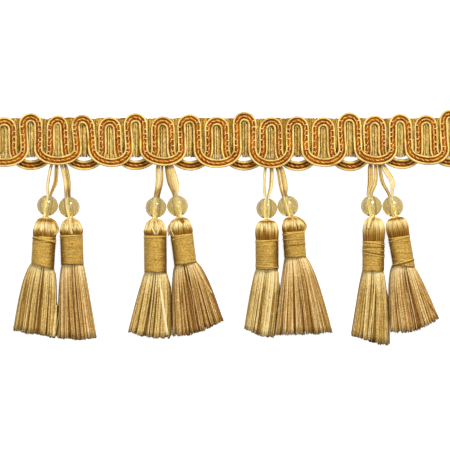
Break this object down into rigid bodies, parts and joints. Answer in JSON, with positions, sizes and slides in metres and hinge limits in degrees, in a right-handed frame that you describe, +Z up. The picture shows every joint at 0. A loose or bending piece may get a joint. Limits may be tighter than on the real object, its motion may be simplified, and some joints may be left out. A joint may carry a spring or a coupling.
{
  "type": "beaded tassel fringe",
  "caption": "Beaded tassel fringe: a scrolled cord heading with pairs of short bound tassels, each hung below a clear bead, laid flat on its back.",
  "frame": {"origin": "middle of the footprint, on the surface that the fringe lies on", "axes": "+X along the heading, +Y from the tassels' cut ends to the heading's scalloped edge, +Z up, out of the fringe's face"},
  "size_m": [0.1888, 0.0886, 0.0088],
  "materials": {
    "ground_yarn": "satin",
    "scroll_cord": "satin",
    "hanging_floss": "satin",
    "bead": "gloss",
    "tassel_floss": "satin",
    "binding_thread": "satin"
  },
  "bodies": {
    "root": {"heading_ground": "ground_yarn", "scroll_front": "scroll_cord", "scroll_back": "scroll_cord", "hanger_1a": "hanging_floss", "bead_1a": "bead", "tassel_1a": "tassel_floss", "binding_1a": "binding_thread", "hanger_1b": "hanging_floss", "bead_1b": "bead", "tassel_1b": "tassel_floss", "binding_1b": "binding_thread", "hanger_2a": "hanging_floss", "bead_2a": "bead", "tassel_2a": "tassel_floss", "binding_2a": "binding_thread", "hanger_2b": "hanging_floss", "bead_2b": "bead", "tassel_2b": "tassel_floss", "binding_2b": "binding_thread", "hanger_3a": "hanging_floss", "bead_3a": "bead", "tassel_3a": "tassel_floss", "binding_3a": "binding_thread", "hanger_3b": "hanging_floss", "bead_3b": "bead", "tassel_3b": "tassel_floss", "binding_3b": "binding_thread", "hanger_4a": "hanging_floss", "bead_4a": "bead", "tassel_4a": "tassel_floss", "binding_4a": "binding_thread", "hanger_4b": "hanging_floss", "bead_4b": "bead", "tassel_4b": "tassel_floss", "binding_4b": "binding_thread"}
  },
  "joints": []
}
